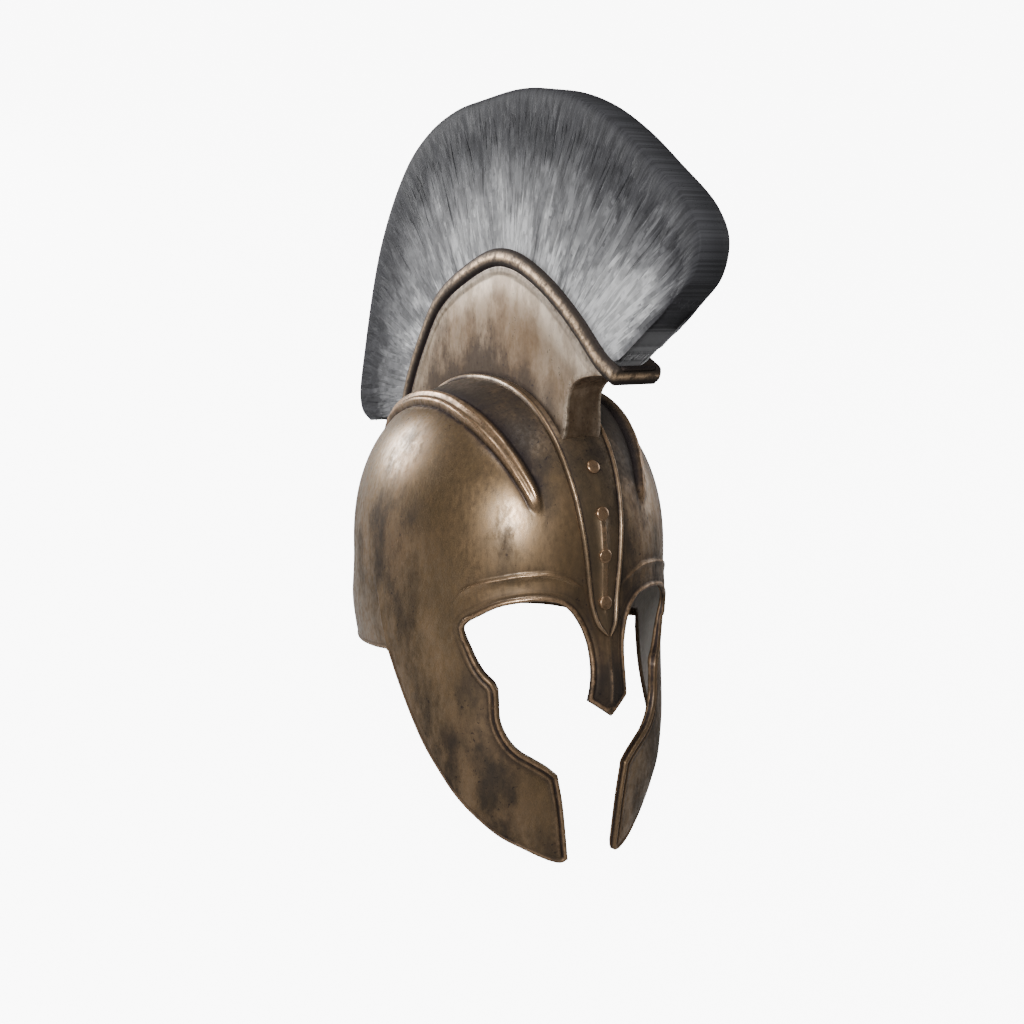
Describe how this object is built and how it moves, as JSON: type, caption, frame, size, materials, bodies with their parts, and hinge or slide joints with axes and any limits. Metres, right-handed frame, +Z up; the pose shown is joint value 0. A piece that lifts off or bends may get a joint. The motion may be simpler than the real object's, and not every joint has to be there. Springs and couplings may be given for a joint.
{
  "type": "trojan helmet",
  "caption": "Bronze helmet with nose guard, long cheek pieces, neck guard and a tall arched crest of grey hair.",
  "frame": {"origin": "middle of the object's box at floor level; the helmet lies back on its two cheek tips and the rim of its neck guard", "axes": "-Y to the side that the face looks to, +Z up, +X to the wearer's left; the helmet's own upright direction leans back by about 30 degrees from +Z towards +Y"},
  "size_m": [0.2136, 0.458, 0.4337],
  "materials": {
    "bronze_shell": "satin",
    "bronze_plate": "satin",
    "bronze_crest": "satin",
    "rivets": "satin",
    "hair": "matte"
  },
  "bodies": {
    "root": {"shell": "bronze_shell", "centre_plate": "bronze_plate", "rivet_1": "rivets", "rivet_2": "rivets", "rivet_3": "rivets", "rivet_4": "rivets", "crest_box": "bronze_crest", "crest_tray": "bronze_crest", "plume": "hair"}
  },
  "joints": []
}
